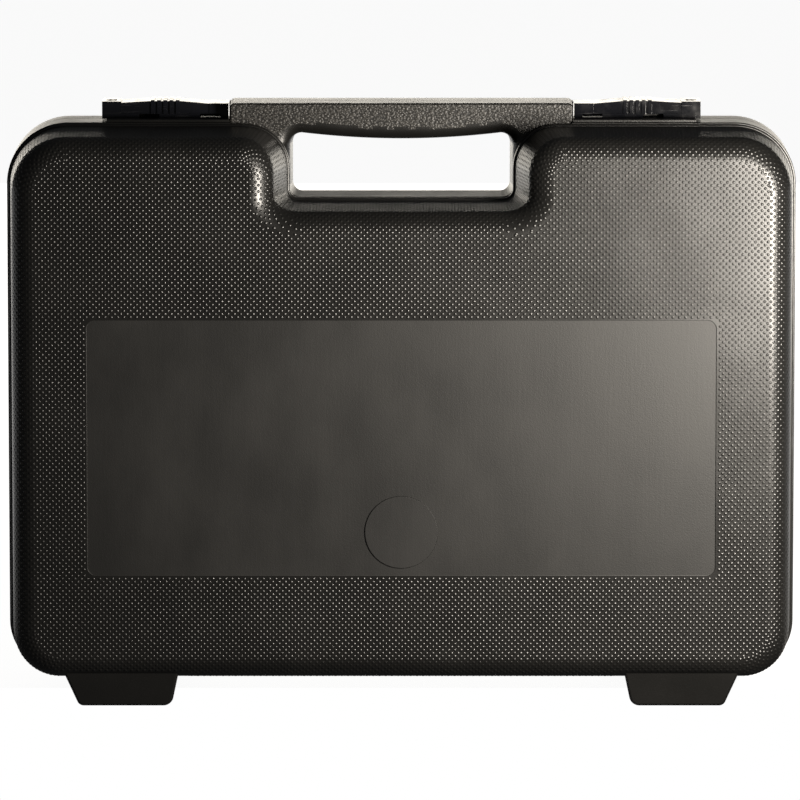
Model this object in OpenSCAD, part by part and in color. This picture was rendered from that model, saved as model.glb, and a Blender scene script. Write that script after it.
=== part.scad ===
// Blow-moulded carry case for a studio microphone, standing upright on its two feet.
// X runs across the case, -Y is the front, +Z is up. The lid is the front half and the
// base is the back half. The origin is on the floor, under the middle of the whole case.

/* [Body] */
// Width over the flange
body_w = 411.6; // [390:0.1:440]
// Height of the flange, from its lower to its upper edge
body_h = 290.7; // [275:0.1:310]
// Radius of the flange's upper corners
top_r = 32; // [26:0.5:38]
// Radius of the flange's lower corners
bottom_r = 28; // [22:0.5:34]
// Depth of the lid, from the parting plane to its front face
lid_depth = 65; // [58:0.5:76]
// Depth of the base, from the parting plane to its back face
base_depth = 65; // [60:0.5:80]
// Depth of the flange on the lid
lid_flange = 21; // [19:0.5:24]
// Depth of the flange on the base
base_flange = 15; // [13:0.5:20]
// How far the flange stands out past the bulged faces
flange_step = 1.7; // [1:0.1:3]
// Rounding between the sides and the front or back face
face_r = 14; // [10:0.5:18]
// Thickness of the moulded wall
wall = 3.6; // [3.4:0.1:4.5]

/* [Handle] */
// Width of the handle block
handle_w = 179.2; // [170:0.1:184]
// How far the handle block rises above the flange
handle_rise = 9.8; // [8:0.1:12]
// Depth of the handle in front of the parting plane
handle_front = 18.5; // [15:0.1:18.9]
// Depth of the handle behind the parting plane
handle_back = 13; // [10:0.1:13]
// Rounding of the handle block's upper corners
handle_r = 2.4; // [1:0.1:4]
// Width of the finger opening
opening_w = 117; // [105:0.5:125]
// Height of the finger opening at its ends
opening_h = 33; // [30:0.5:40]
// Depth of the opening's upper edge below the flange's upper edge
opening_drop = 6.1; // [4:0.1:8]
// Corner radius of the finger opening
opening_r = 6; // [3:0.5:10]
// How far the grip swells down into the middle of the opening
grip_sag = 2.4; // [1:0.1:4]
// Radius of the bulge's shoulders beside the opening
shoulder_r = 22; // [17:0.5:26]
// Ledge between the opening's sides and the bulge
side_ledge = 0.5; // [0.3:0.1:2]
// Ledge between the opening's lower edge and the bulge
lower_ledge = 1.3; // [0.5:0.1:3]

/* [Front panel] */
// Width of the sunk panel
panel_w = 329.4; // [280:0.1:350]
// Height of the sunk panel
panel_h = 134.1; // [100:0.1:145]
// Height of the panel's middle above the floor
panel_z = 136.9; // [125:0.1:145]
// Corner radius of the panel
panel_r = 4.7; // [2:0.1:10]
// How deep the panel is sunk
panel_sink = 0.8; // [0.4:0.1:1.5]
// Radius of the round pad on the panel
pad_r = 19; // [12:0.5:24]
// Height of the pad's middle above the panel's lower edge
pad_up = 23; // [20:0.1:40]
// How far the pad stands out of the panel
pad_rise = 0.5; // [0.2:0.1:0.7]

/* [Feet] */
// Height of the feet under the flange
foot_h = 11.4; // [11:0.1:16]
// Distance of each foot's middle from the side of the case
foot_inset = 61.5; // [57:0.5:90]
// Width of a foot where it meets the body
foot_top_w = 56; // [54:0.5:70]
// Width of a foot at the floor
foot_floor_w = 46.6; // [44:0.1:54]
// How far a foot's end stays behind the front or back face
foot_setback = 4; // [3:0.5:10]
// Gap in each foot for the hinge, to each side of the parting plane
foot_gap = 6; // [6:0.1:8]
// Chamfer on the foot's lower edges beside the hinge
foot_chamfer = 3; // [3:0.1:4]

/* [Hinge] */
// Height of the hinge axis above the floor
hinge_z = 5.6; // [5.6:0.1:6]
// Radius of the hinge knuckles
knuckle_r = 4.8; // [4:0.1:4.8]
// Length of the lid's knuckle in the middle
lid_knuckle = 18; // [12:0.5:18]
// Length of each of the base's two knuckles
base_knuckle = 12; // [8:0.5:12]
// Diameter of the steel hinge pins
pin_d = 3; // [2:0.1:4]

/* [Latches] */
// Length of a latch
latch_len = 66; // [60:0.5:70]
// Depth of a latch, front to back
latch_depth = 18; // [18:0.5:22]
// Height of the latch's outer end above the flange
latch_outer_h = 9.8; // [9.6:0.1:12]
// Height of the latch's inner end above the flange
latch_inner_h = 8.8; // [8.7:0.1:12]
// Height of the thumb grip above the flange
latch_grip_h = 10; // [9.9:0.1:13]
// Travel of a latch from locked to open
latch_travel = 12; // [11:0.5:12]
// Thickness of the latch's walls
latch_wall = 2; // [1.5:0.1:2.2]
// Number of ribs on the thumb grip
rib_count = 5; // [3:1:7]
// Spacing of the ribs
rib_pitch = 3.25; // [2.5:0.05:3.5]
// Width of a rib
rib_w = 1.5; // [1:0.1:2]
// Height of a rib
rib_h = 0.7; // [0.4:0.1:1]
// Length of each of the lid's catch lugs
lug_len = 9; // [7:0.5:9.5]
// Height of the pads under the latches
seat_h = 0.5; // [0.3:0.1:0.8]
// Depth of the pads on each side of the parting plane
seat_depth = 12; // [11:0.5:14]

/* [Foam] */
// Thickness of the foam pad at the back of the base
floor_t = 12; // [10:1:14]
// Thickness of the lower die-cut layer
lower_t = 25; // [20:1:28]
// Thickness of the upper die-cut layer
upper_t = 21; // [16:1:23]
// Length of the microphone's pocket
mic_len = 226; // [200:1:235]
// Width of the microphone's pocket
mic_w = 62; // [50:1:70]
// Width of the narrow end of the microphone's pocket
mic_tail_w = 40; // [30:1:48]
// Length of the narrow end of the microphone's pocket
mic_tail = 62; // [40:1:80]
// Length of the power supply's pocket
supply_len = 160; // [120:1:165]
// Height of the power supply's and the cable's pockets
lower_row_h = 96; // [80:1:104]
// Length of the cable's pocket
cable_len = 160; // [120:1:165]
// Length of the stand mount's pocket
mount_len = 84; // [60:1:90]
// Height of the stand mount's pocket
mount_h = 78; // [60:1:84]
// Height of the lower row of pockets above the flange's lower edge
row_up = 24; // [20:1:28]
// Foam left between the lower row, the microphone's and the stand mount's pockets
pocket_web = 26; // [20:1:28]
// Foam left between the power supply's and the cable's pockets
column_gap = 28; // [20:1:32]
// Distance from the side of the case to the microphone's pocket
mic_inset = 27.8; // [24:0.1:34]
// How much narrower the microphone's pocket is on each side in the lower layer
mic_step = 3; // [1:0.5:5]
// How far the middle of the stand mount's pocket is above the microphone's
mount_shift = 6; // [0:0.5:8]
// Corner radius of the pockets
pocket_r = 8; // [5:0.5:10]
// Radius of a finger scoop beside a pocket
scoop_r = 13; // [10:0.5:15]
// Thickness of the lid foam between its peaks
lid_foam_low = 30; // [20:1:34]
// Thickness of the lid foam at its peaks
lid_foam_high = 52; // [40:1:54]
// Distance from a peak of the lid foam to the hollow beside it
egg_pitch = 25; // [20:1:34]

/* [Fits] */
// Gap between the two halves at the parting plane
parting_gap = 0.3; // [0.2:0.05:0.4]
// Width of the tongue on the base's rim
tongue_w = 1.4; // [1:0.1:1.5]
// Height of the tongue above the parting plane
tongue_h = 1.2; // [0.8:0.1:1.6]
// Distance of the tongue from the outside of the bulge
tongue_in = 0.8; // [0.7:0.1:1]
// Gap around the tongue in its groove
groove_gap = 0.35; // [0.3:0.05:0.4]
// Running clearance of the hinge pins, on the radius
pin_clear = 0.05; // [0.02:0.01:0.1]
// Gap between neighbouring knuckles
knuckle_gap = 0.4; // [0.3:0.1:0.8]
// Sliding clearance of the latches on their rails
slide_clear = 0.4; // [0.3:0.05:0.5]
// Gap between a latch and its pads, and over the latch's lip
seat_clear = 0.3; // [0.2:0.05:0.4]
// Gap between a latch and the end of the handle
latch_gap = 0.8; // [0.5:0.1:2]
// Gap around the foam pieces
foam_gap = 0.4; // [0.3:0.1:0.6]

/* [Hidden] */

overlap = 0.5;                      // depth by which joined shapes run into each other
corner_steps = 8;                   // flats on each large corner of the outline
small_steps = 4;                    // flats on each small corner of the outline
face_steps = 5;                     // flats across the rounding of a face

// Outlines of the body, the opening and the recess around the handle
half_w = body_w / 2;
flange_low = foot_h;
flange_top = flange_low + body_h;
handle_top = flange_top + handle_rise;
opening_top = flange_top - opening_drop;
opening_low = opening_top - opening_h;
bulge_low = flange_low + flange_step;
bulge_top = flange_top - flange_step;
bulge_half_w = half_w - flange_step;
recess_half_w = opening_w / 2 + side_ledge;
recess_low = opening_low - lower_ledge;
recess_r = opening_r;
rim = parting_gap / 2;

// Hinge
foot_x = half_w - foot_inset;
pin_len = lid_knuckle + 2 * base_knuckle + 2 * knuckle_gap;
base_knuckle_x = (lid_knuckle + base_knuckle) / 2 + knuckle_gap;

// Latch and rail, for the right-hand side. Heights count from the flange's upper edge.
latch_x = handle_w / 2 + latch_gap;
latch_low = seat_h + seat_clear;
lip_h = 1.8;                        // lip of the back wall that hooks under the rail's head
lip_w = 3;
rail_under = latch_low + lip_h + seat_clear;
window_h = rail_under + slide_clear;            // cut in the front wall for the lugs
guide_h = window_h + 0.2;                       // lower edge of the guide inside the latch
rib_low = window_h + 0.5;                       // lower end of the thumb ribs
outer_step = 0.7;                               // step from the outer end block to its ramp
inner_step = 0.2;                               // step from the inner end block to its ramp
roof_t = 1.6;
channel_h = min(latch_inner_h, latch_outer_h) - roof_t - inner_step;
rail_h = channel_h - slide_clear;
inner_y = latch_depth / 2 - latch_wall;
rail_back = inner_y - slide_clear;
stem_back = rail_back - lip_w;
rail_front = 0.6;
end_wall = 2.5;                                 // walls at the two ends of the latch
rail_from = latch_x + end_wall + latch_travel + slide_clear;
rail_to = latch_x + latch_len - end_wall - slide_clear - seat_clear;
seat_from = latch_x + 1.7;
seat_to = latch_x + latch_len - 2.7;
lug_x = [rail_from + 2, rail_to - lug_len - 5];
lug_back = 0.6;
lug_front = rail_back;
block_len = 10;                                 // flat end blocks of a latch
grip_len = rib_count * rib_pitch;
grip_mid = latch_len / 2;

// Foam layers, from the back of the base to the front
floor_back = base_depth - wall - foam_gap;
lower_back = floor_back - floor_t;
upper_back = lower_back - lower_t;
upper_front = upper_back - upper_t;

// Pockets, laid out on the face of the foam
lower_row_z = flange_low + row_up + lower_row_h / 2;
mic_z = lower_row_z + lower_row_h / 2 + pocket_web + mic_w / 2;
mic_from = mic_inset - half_w;
supply_x = -(column_gap + supply_len) / 2;
cable_x = (column_gap + cable_len) / 2;
mount_x = mic_from + mic_len + pocket_web + mount_len / 2;
mount_z = mic_z + mount_shift;

// Blunt peaks of the lid's foam
peak_base_r = egg_pitch / sqrt(2) - 2;
peak_tip_r = 4;
peak_sides = 8;

// Arcs of the bulge's outline, counter-clockwise from the upper right corner.
// Each is [centre x, centre z, radius, first angle, last angle, steps], and a
// negative radius marks a hollow corner, which grows as the outline is inset.
function outline_arcs() = [
    [bulge_half_w - top_r + flange_step, bulge_top - top_r + flange_step,
     top_r - flange_step, 0, 90, corner_steps],
    [recess_half_w + shoulder_r, bulge_top - shoulder_r, shoulder_r, 90, 180, corner_steps],
    [recess_half_w - recess_r, recess_low + recess_r, -recess_r, 0, -90, small_steps],
    [-recess_half_w + recess_r, recess_low + recess_r, -recess_r, -90, -180, small_steps],
    [-recess_half_w - shoulder_r, bulge_top - shoulder_r, shoulder_r, 0, 90, corner_steps],
    [-bulge_half_w + top_r - flange_step, bulge_top - top_r + flange_step,
     top_r - flange_step, 90, 180, corner_steps],
    [-bulge_half_w + bottom_r - flange_step, bulge_low + bottom_r - flange_step,
     bottom_r - flange_step, 180, 270, corner_steps],
    [bulge_half_w - bottom_r + flange_step, bulge_low + bottom_r - flange_step,
     bottom_r - flange_step, 270, 360, corner_steps]];

// Points of one arc of the outline, inset by the given distance
function arc_points(arc, inset) = [
    for (step = [0 : arc[5]])
        let (angle = arc[3] + (arc[4] - arc[3]) * step / arc[5])
        let (r = arc[2] > 0 ? arc[2] - inset : inset - arc[2])
        [arc[0] + r * cos(angle), arc[1] + r * sin(angle)]];

// The bulge's outline, inset by the given distance
function outline(inset) = [
    for (arc = outline_arcs())
        each arc_points(arc, inset)];

// Lays a drawing in the X-Z plane and thickens it from y_from to y_to
module plate(y_from, y_to) {
    translate([0, y_to, 0])
        rotate([90, 0, 0])
            linear_extrude(y_to - y_from)
                children();
}

module rounded_rect(width, height, r) {
    square([width - 2 * r, height], center = true);
    square([width, height - 2 * r], center = true);
    for (x = [-1, 1], y = [-1, 1])
        translate([x * (width / 2 - r), y * (height / 2 - r)])
            circle(r, $fn = 48);
}

// Faces that fill the outline, counter-clockwise, by the numbers of its points. Bands
// cross the two lobes beside the handle's recess, and fans fill what is below them.
function outline_faces() =
    let (n = corner_steps, m = small_steps)
    let (right_shoulder = n + 1, right_hollow = 2 * n + 2)
    let (left_hollow = right_hollow + m + 1, left_shoulder = left_hollow + m + 1)
    let (left_top = left_shoulder + n + 1, left_low = left_top + n + 1)
    let (right_low = left_low + n + 1, left_side = left_low - 1, right_end = left_hollow - 1)
    concat(
        [for (k = [0 : n - 1])
            [n - k, right_shoulder + k, right_shoulder + k + 1, n - k - 1]],
        [for (k = [0 : n - 1])
            [left_shoulder + n - k, left_top + k, left_top + k + 1, left_shoulder + n - k - 1]],
        [for (k = [-1 : m - 1]) [0, right_hollow + k, right_hollow + k + 1]],
        [for (k = [0 : m]) [left_side, left_hollow + k, left_hollow + k + 1]],
        [for (k = [0 : n - 1]) [right_end, right_low + k, right_low + k + 1]],
        [for (k = [-1 : n - 1]) [left_hollow, left_low + k, left_low + k + 1]],
        [[right_end, right_low + n, 0], [right_end, left_hollow, right_low - 1, right_low]]);

function reversed(face) = [for (k = [len(face) - 1 : -1 : 0]) face[k]];

// Solid with the bulge's outline, from the height near to a rounded face at the height far
module bulge(inset, near, far, r) {
    rings = [[inset, near],
             for (step = [0 : face_steps])
                 let (angle = 90 * step / face_steps)
                 [inset + r * (1 - cos(angle)), far - r + r * sin(angle)]];
    count = len(outline(inset));
    last = (len(rings) - 1) * count;
    points = [for (ring = rings)
                  for (p = outline(ring[0]))
                      [p[0], p[1], ring[1]]];
    sides = [for (ring = [0 : len(rings) - 2], i = [0 : count - 1])
                 let (a = ring * count + i, b = ring * count + (i + 1) % count)
                 [a, a + count, b + count, b]];
    far_faces = [for (face = outline_faces())
                     reversed([for (i = face) i + last])];
    polyhedron(points, concat(outline_faces(), sides, far_faces), convexity = 6);
}

// A bulge that points to the front (side = -1) or to the back (side = 1)
module facing(side) {
    mirror([0, side > 0 ? 1 : 0, 0])
        rotate([90, 0, 0])
            children();
}

// Outline of the flange without the handle
module flange_shape() {
    square_w = body_w - 2 * top_r;
    translate([-square_w / 2, flange_low + bottom_r])
        square([square_w, body_h - bottom_r]);
    translate([-half_w, flange_low + bottom_r])
        square([body_w, body_h - bottom_r - top_r]);
    translate([-half_w + bottom_r, flange_low])
        square([body_w - 2 * bottom_r, body_h - top_r]);
    for (x = [-1, 1]) {
        translate([x * (half_w - top_r), flange_top - top_r])
            circle(top_r, $fn = 96);
        translate([x * (half_w - bottom_r), flange_low + bottom_r])
            circle(bottom_r, $fn = 96);
    }
}

module handle_shape() {
    low = recess_low;
    translate([0, (low + handle_top) / 2])
        rounded_rect(handle_w, handle_top - low, handle_r);
}

// The finger opening; the grip swells down into it
module opening_shape() {
    swell_r = (pow(opening_w / 2 - opening_r, 2) + pow(grip_sag, 2)) / (2 * grip_sag);
    difference() {
        translate([0, (opening_top + opening_low) / 2])
            rounded_rect(opening_w, opening_h, opening_r);
        translate([0, opening_top - grip_sag + swell_r])
            circle(swell_r, $fn = 360);
    }
}

module foot_shape(up_to) {
    slope = (foot_top_w - foot_floor_w) / 2 / foot_h;
    top_half = foot_floor_w / 2 + slope * up_to;
    polygon([[-foot_floor_w / 2, 0], [foot_floor_w / 2, 0], [top_half, up_to], [-top_half, up_to]]);
}

// The half of each foot that belongs to one moulding, from the hinge gap outwards
module feet(side, depth) {
    up_to = bulge_low + face_r;
    far = depth - foot_setback;
    for (x = [-foot_x, foot_x])
        translate([x, 0, 0])
            difference() {
                facing(side)
                    translate([0, 0, foot_gap])
                        linear_extrude(far - foot_gap)
                            foot_shape(up_to);
                translate([0, side * foot_gap, 0])
                    rotate([45, 0, 0])
                        cube([foot_top_w, foot_chamfer * sqrt(2), foot_chamfer * sqrt(2)],
                             center = true);
            }
}

// One moulded half without its hinge and latch details
module half_shell(side, depth, flange, handle_depth) {
    y_rim = side * rim;
    difference() {
        union() {
            plate(min(y_rim, side * flange), max(y_rim, side * flange))
                flange_shape();
            plate(min(y_rim, side * handle_depth), max(y_rim, side * handle_depth))
                handle_shape();
            facing(side)
                bulge(0, flange - overlap, depth, face_r);
            feet(side, depth);
        }
        plate(-lid_depth - overlap, base_depth + overlap)
            opening_shape();
        facing(side)
            bulge(wall, 0, depth - wall, face_r - wall);
        // The flange stands above the handle's face beside the opening
        plate(min(side * handle_depth, side * (flange + overlap)),
              max(side * handle_depth, side * (flange + overlap)))
            recess_cut();
    }
}

// What is cut off the flange around the grip, back to the handle's face
module recess_cut() {
    difference() {
        translate([0, (recess_low + handle_top) / 2])
            square([handle_w, handle_top - recess_low], center = true);
        polygon(outline(0));
    }
}

module knuckle(length) {
    rotate([0, 90, 0])
        cylinder(h = length, r = knuckle_r, center = true, $fn = 48);
}

module pin_bore(length) {
    rotate([0, 90, 0])
        cylinder(h = length, r = pin_d / 2 + pin_clear, center = true, $fn = 48);
}

// A knuckle with the web that joins it to its half of the foot
module hinge_ear(side, length) {
    web_low = foot_chamfer - hinge_z;
    web_high = knuckle_r;
    difference() {
        union() {
            knuckle(length);
            translate([-length / 2, side > 0 ? 0 : -foot_gap - overlap, web_low])
                cube([length, foot_gap + overlap, web_high - web_low]);
        }
        pin_bore(length + 2 * overlap);
    }
}

// Low pads that the latch runs on, one strip on each half
module latch_seats(side) {
    y_from = side > 0 ? rim : -seat_depth;
    for (x = [-seat_to, seat_from])
        translate([x, y_from, flange_top - overlap])
            cube([seat_to - seat_from, seat_depth - rim, seat_h + overlap]);
}

// Hooked rail of one latch, on the base
module latch_rail() {
    translate([rail_from, rail_front, flange_top - overlap])
        cube([rail_to - rail_from, stem_back - rail_front, rail_h + overlap]);
    translate([rail_from, rail_front, flange_top + rail_under])
        cube([rail_to - rail_from, rail_back - rail_front, rail_h - rail_under]);
}

// Lugs of the lid that the latch's front wall holds back
module catch_lugs() {
    for (x = lug_x)
        translate([x, -lug_front, flange_top - overlap])
            cube([lug_len, lug_front - lug_back, rail_under + overlap]);
}

module lid_shell() {
    color([0.09, 0.085, 0.08])
    difference() {
        union() {
            half_shell(-1, lid_depth, lid_flange, handle_front);
            latch_seats(-1);
            for (side = [0, 1])
                mirror([side, 0, 0]) {
                    catch_lugs();
                    translate([foot_x, 0, hinge_z])
                        hinge_ear(-1, lid_knuckle);
                }
        }
        plate(-lid_depth - overlap, -lid_depth + panel_sink)
            panel_shape();
        plate(-lid_depth - overlap, -lid_depth + panel_sink - pad_rise)
            pad_shape(pad_r + overlap);
        plate(-tongue_h - groove_gap, 0)
            rim_ring(groove_gap);
    }
}

// The sunk panel, without its round pad
module panel_shape() {
    difference() {
        translate([0, panel_z])
            rounded_rect(panel_w, panel_h, panel_r);
        pad_shape(pad_r);
    }
}

module pad_shape(r) {
    translate([0, panel_z - panel_h / 2 + pad_up])
        circle(r, $fn = 96);
}

// Ring along the rim for the tongue, or for its groove with a gap around it
module rim_ring(gap) {
    difference() {
        polygon(outline(tongue_in - gap));
        polygon(outline(tongue_in + tongue_w + gap));
    }
}

module base_shell() {
    color([0.085, 0.08, 0.075]) {
        half_shell(1, base_depth, base_flange, handle_back);
        latch_seats(1);
        plate(-tongue_h, rim + overlap)
            rim_ring(0);
        for (side = [0, 1])
            mirror([side, 0, 0]) {
                latch_rail();
                for (x = [-base_knuckle_x, base_knuckle_x])
                    translate([foot_x + x, 0, hinge_z])
                        hinge_ear(1, base_knuckle);
            }
    }
}

// Front view of a latch: end blocks, ramps and the thumb grip
module latch_shape() {
    polygon([[0, latch_low], [latch_len, latch_low],
             [latch_len, latch_outer_h], [latch_len - block_len, latch_outer_h],
             [latch_len - block_len, latch_outer_h - outer_step],
             [grip_mid + grip_len / 2, latch_grip_h], [grip_mid - grip_len / 2, latch_grip_h],
             [block_len, latch_inner_h - inner_step], [block_len, latch_inner_h],
             [0, latch_inner_h]]);
}

module latch() {
    color([0.03, 0.035, 0.05])
    translate([latch_x, 0, flange_top]) {
        difference() {
            plate(-latch_depth / 2, latch_depth / 2)
                latch_shape();
            translate([end_wall, -inner_y, latch_low - overlap])
                cube([latch_len - 2 * end_wall, 2 * inner_y, channel_h - latch_low + overlap]);
            for (x = lug_x)
                translate([x - latch_x - latch_travel - 2 * slide_clear, -latch_depth,
                           latch_low - overlap])
                    cube([lug_len + 4 * slide_clear, latch_depth,
                          window_h - latch_low + overlap]);
        }
        latch_lip();
        translate([end_wall - overlap, rail_front - slide_clear - latch_wall, guide_h])
            cube([latch_len - 2 * end_wall + 2 * overlap, latch_wall, channel_h - guide_h + overlap]);
        latch_ribs();
    }
}

// Lip of the back wall that hooks under the rail's head
module latch_lip() {
    translate([end_wall - overlap, inner_y - lip_w, latch_low])
        cube([latch_len - 2 * end_wall + 2 * overlap, lip_w + overlap, lip_h]);
}

// Thumb ribs over the top and down the front of a latch
module latch_ribs() {
    for (i = [0 : rib_count - 1])
        translate([grip_mid + (i - (rib_count - 1) / 2) * rib_pitch - rib_w / 2, 0, 0]) {
            translate([0, -latch_depth / 2, latch_grip_h - overlap])
                cube([rib_w, latch_depth, rib_h + overlap]);
            translate([0, -latch_depth / 2 - rib_h / 2, rib_low])
                cube([rib_w, latch_wall, latch_grip_h + rib_h - rib_low]);
        }
}

module hinge_pin() {
    color("silver")
    translate([foot_x, 0, hinge_z])
        rotate([0, 90, 0])
            cylinder(h = pin_len, r = pin_d / 2, center = true, $fn = 48);
}

module mic_pocket(shrink) {
    body_len = mic_len - mic_tail;
    translate([mic_from + body_len / 2, mic_z])
        rounded_rect(body_len - 2 * shrink, mic_w - 2 * shrink, pocket_r + 6);
    translate([mic_from + mic_len / 2, mic_z])
        rounded_rect(mic_len - 2 * shrink, mic_tail_w - 2 * shrink, pocket_r);
}

module lower_row() {
    translate([supply_x, lower_row_z])
        rounded_rect(supply_len, lower_row_h, pocket_r);
    translate([cable_x, lower_row_z])
        rounded_rect(cable_len, lower_row_h, 3 * pocket_r);
}

module mount_pocket() {
    translate([mount_x, mount_z])
        rounded_rect(mount_len, mount_h, pocket_r);
}

// Finger scoops at the edges of the pockets
module scoops() {
    for (z = [-1, 1])
        translate([mic_from + (mic_len - mic_tail) / 2, mic_z + z * mic_w / 2])
            circle(scoop_r, $fn = 48);
    translate([supply_x, lower_row_z + lower_row_h / 2])
        circle(scoop_r, $fn = 48);
}

module foam_floor() {
    color([0.16, 0.16, 0.17])
    facing(1)
        bulge(wall + foam_gap, lower_back, floor_back, face_r - wall - foam_gap);
}

module foam_lower() {
    color([0.19, 0.19, 0.2])
    difference() {
        plate(upper_back, lower_back)
            polygon(outline(wall + foam_gap));
        plate(upper_back - overlap, lower_back + overlap) {
            mic_pocket(mic_step);
            lower_row();
        }
    }
}

module foam_upper() {
    color([0.22, 0.22, 0.23])
    difference() {
        plate(upper_front, upper_back)
            polygon(outline(wall + foam_gap));
        plate(upper_front - overlap, upper_back + overlap) {
            mic_pocket(0);
            lower_row();
            mount_pocket();
            scoops();
        }
    }
}

// The lid foam's peaks stand in a chequered pattern, clear of its edges and of the handle's recess
function peak_fits(x, z) =
    abs(x) + peak_base_r < bulge_half_w - wall - face_r
    && z - peak_base_r > bulge_low + wall + foam_gap
    && z + peak_base_r < bulge_top - wall - foam_gap
    && (abs(x) - peak_base_r > recess_half_w + face_r
        || z + peak_base_r < recess_low - wall - foam_gap);

// One blunt peak, standing on z = 0 and rooted just under it
module foam_peak() {
    hull() {
        translate([0, 0, -overlap])
            cylinder(h = 2 * overlap, r = peak_base_r, $fn = peak_sides);
        translate([0, 0, lid_foam_high - lid_foam_low - overlap])
            cylinder(h = overlap, r = peak_tip_r, $fn = peak_sides);
    }
}

module lid_foam() {
    far = lid_depth - wall - foam_gap;
    near = far - lid_foam_low;
    columns = ceil(half_w / egg_pitch);
    rows = ceil(body_h / 2 / egg_pitch);
    color([0.2, 0.2, 0.21]) {
        facing(-1)
            bulge(wall + foam_gap, near, far, face_r - wall - foam_gap);
        for (i = [-columns : columns], j = [-rows : rows]) {
            x = i * egg_pitch;
            z = (bulge_low + bulge_top) / 2 + j * egg_pitch;
            if ((i + j + columns + rows) % 2 == 0 && peak_fits(x, z))
                translate([x, -near, z])
                    rotate([-90, 0, 0])
                        foam_peak();
        }
    }
}

// The modules above draw the parting plane at y = 0; this sets the whole depth about the origin
module placed() {
    translate([0, (lid_depth - base_depth) / 2, 0])
        children();
}

placed() lid_shell();
placed() base_shell();
placed() mirror([1, 0, 0]) latch();  // latch_left
placed() latch();  // latch_right
placed() mirror([1, 0, 0]) hinge_pin();  // hinge_pin_left
placed() hinge_pin();  // hinge_pin_right
placed() foam_floor();
placed() foam_lower();
placed() foam_upper();
placed() lid_foam();
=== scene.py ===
"""Looks of a blow-moulded carry case for a studio microphone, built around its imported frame.

Lengths are in metres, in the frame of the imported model: X across the case, -Y to the front, +Z up.
The lid is the front half, with side = -1 in the functions below, and the base is the back half,
with side = 1.
"""

import math

import bmesh
import bpy
import numpy as np
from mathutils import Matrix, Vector
from mathutils.bvhtree import BVHTree


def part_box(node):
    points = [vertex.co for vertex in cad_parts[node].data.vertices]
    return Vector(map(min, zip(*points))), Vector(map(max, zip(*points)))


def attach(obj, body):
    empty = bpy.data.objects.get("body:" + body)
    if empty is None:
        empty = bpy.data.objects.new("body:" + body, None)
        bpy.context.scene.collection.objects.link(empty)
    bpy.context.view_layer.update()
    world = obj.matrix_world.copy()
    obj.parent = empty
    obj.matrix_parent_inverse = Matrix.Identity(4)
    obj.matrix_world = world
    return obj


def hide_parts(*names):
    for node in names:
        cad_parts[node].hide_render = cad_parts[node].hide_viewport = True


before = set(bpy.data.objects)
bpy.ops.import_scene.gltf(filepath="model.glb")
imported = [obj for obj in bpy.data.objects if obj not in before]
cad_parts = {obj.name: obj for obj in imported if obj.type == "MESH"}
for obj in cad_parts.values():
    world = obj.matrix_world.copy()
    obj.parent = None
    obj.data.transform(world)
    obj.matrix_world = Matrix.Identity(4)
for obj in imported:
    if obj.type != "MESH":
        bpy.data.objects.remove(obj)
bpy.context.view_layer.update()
bpy.ops.object.select_all(action="DESELECT")

# -------------------- sizes
lid_low, lid_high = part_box("lid_shell")
base_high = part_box("base_shell")[1]
latch_low, latch_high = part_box("latch_right")
pin_low, pin_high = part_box("hinge_pin_right")

HALF_W = lid_high.x                     # half the width over the flange
HANDLE_TOP = lid_high.z
HANDLE_RISE = 0.0098                    # of the handle over the flange
FLANGE_TOP = HANDLE_TOP - HANDLE_RISE
FLANGE_LOW = 0.0114
FACE_Y = {-1: -lid_low.y, 1: base_high.y}   # depth of each half
FLANGE_Y = {-1: 0.021, 1: 0.015}        # depth of each flange
HANDLE_Y = {-1: 0.0185, 1: 0.013}       # depth of each half of the handle
RIM = 0.00015                           # half the gap at the parting plane
TOP_R = 0.032
BOTTOM_R = 0.028
STEP = 0.0017                           # ledge between flange and bulge
DRAFT = {-1: 0.003, 1: 0.006}           # how much a bulge narrows from its flange to its face
FACE_R = 0.011
SHELL_INSET = {-1: DRAFT[-1] + FACE_R, 1: DRAFT[1] + FACE_R}
LEAN = 0.006                            # what the sides of the handle's recess slope besides
WALL = 0.0036
BEYOND = 0.01                           # how far a cutting body reaches past what it cuts
BEAD = 0.0009                           # bead around the foot of the bulge
BEAD_DEPTH = 0.0016
BEAD_R = 0.0008
FLANGE_R = (0.0007, 0.0003)             # roundings at its face and at the parting plane

HANDLE_HALF = 0.0896
OPENING_HALF = 0.0585
OPENING_TOP = FLANGE_TOP - 0.0061
OPENING_LOW = OPENING_TOP - 0.033
OPENING_R = 0.006
OPENING_DRAFT = (0.0018, 0.0011)        # of its sides and its floor, towards the parting plane
OPENING_MERGE = 0.0007                  # joins short edges between its rounding and the swell
GRIP_SAG = 0.0032
GRIP_R = 0.0068                         # rounding under the grip
HANDLE_TOP_R = 0.0024                   # at the two upper corners of the handle
HANDLE_EDGE_R = {-1: 0.0011, 1: 0.0026}     # along its top and ends, front and back
HANDLE_FOOT = 0.0025                    # how far the handle goes down into the moulding
RECESS_HALF = OPENING_HALF + 0.0005
RECESS_LOW = OPENING_LOW - 0.0013
SHOULDER_R = 0.022
LEAN_END = RECESS_HALF + SHOULDER_R + 0.022     # how far out the sides' slope still moves the top

BULGE_HALF = HALF_W - STEP
BULGE_TOP = FLANGE_TOP - STEP
BULGE_LOW = FLANGE_LOW + STEP

PANEL_HALF = Vector((0.1632, 0.06705))
PANEL_Z = 0.1369
PANEL_R = 0.0047
PANEL_SINK = 0.0008
PANEL_EDGE_R = 0.0004
PAD_R = 0.019
PAD_Z = PANEL_Z - PANEL_HALF.y + 0.023
PAD_RISE = 0.0007

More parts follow.
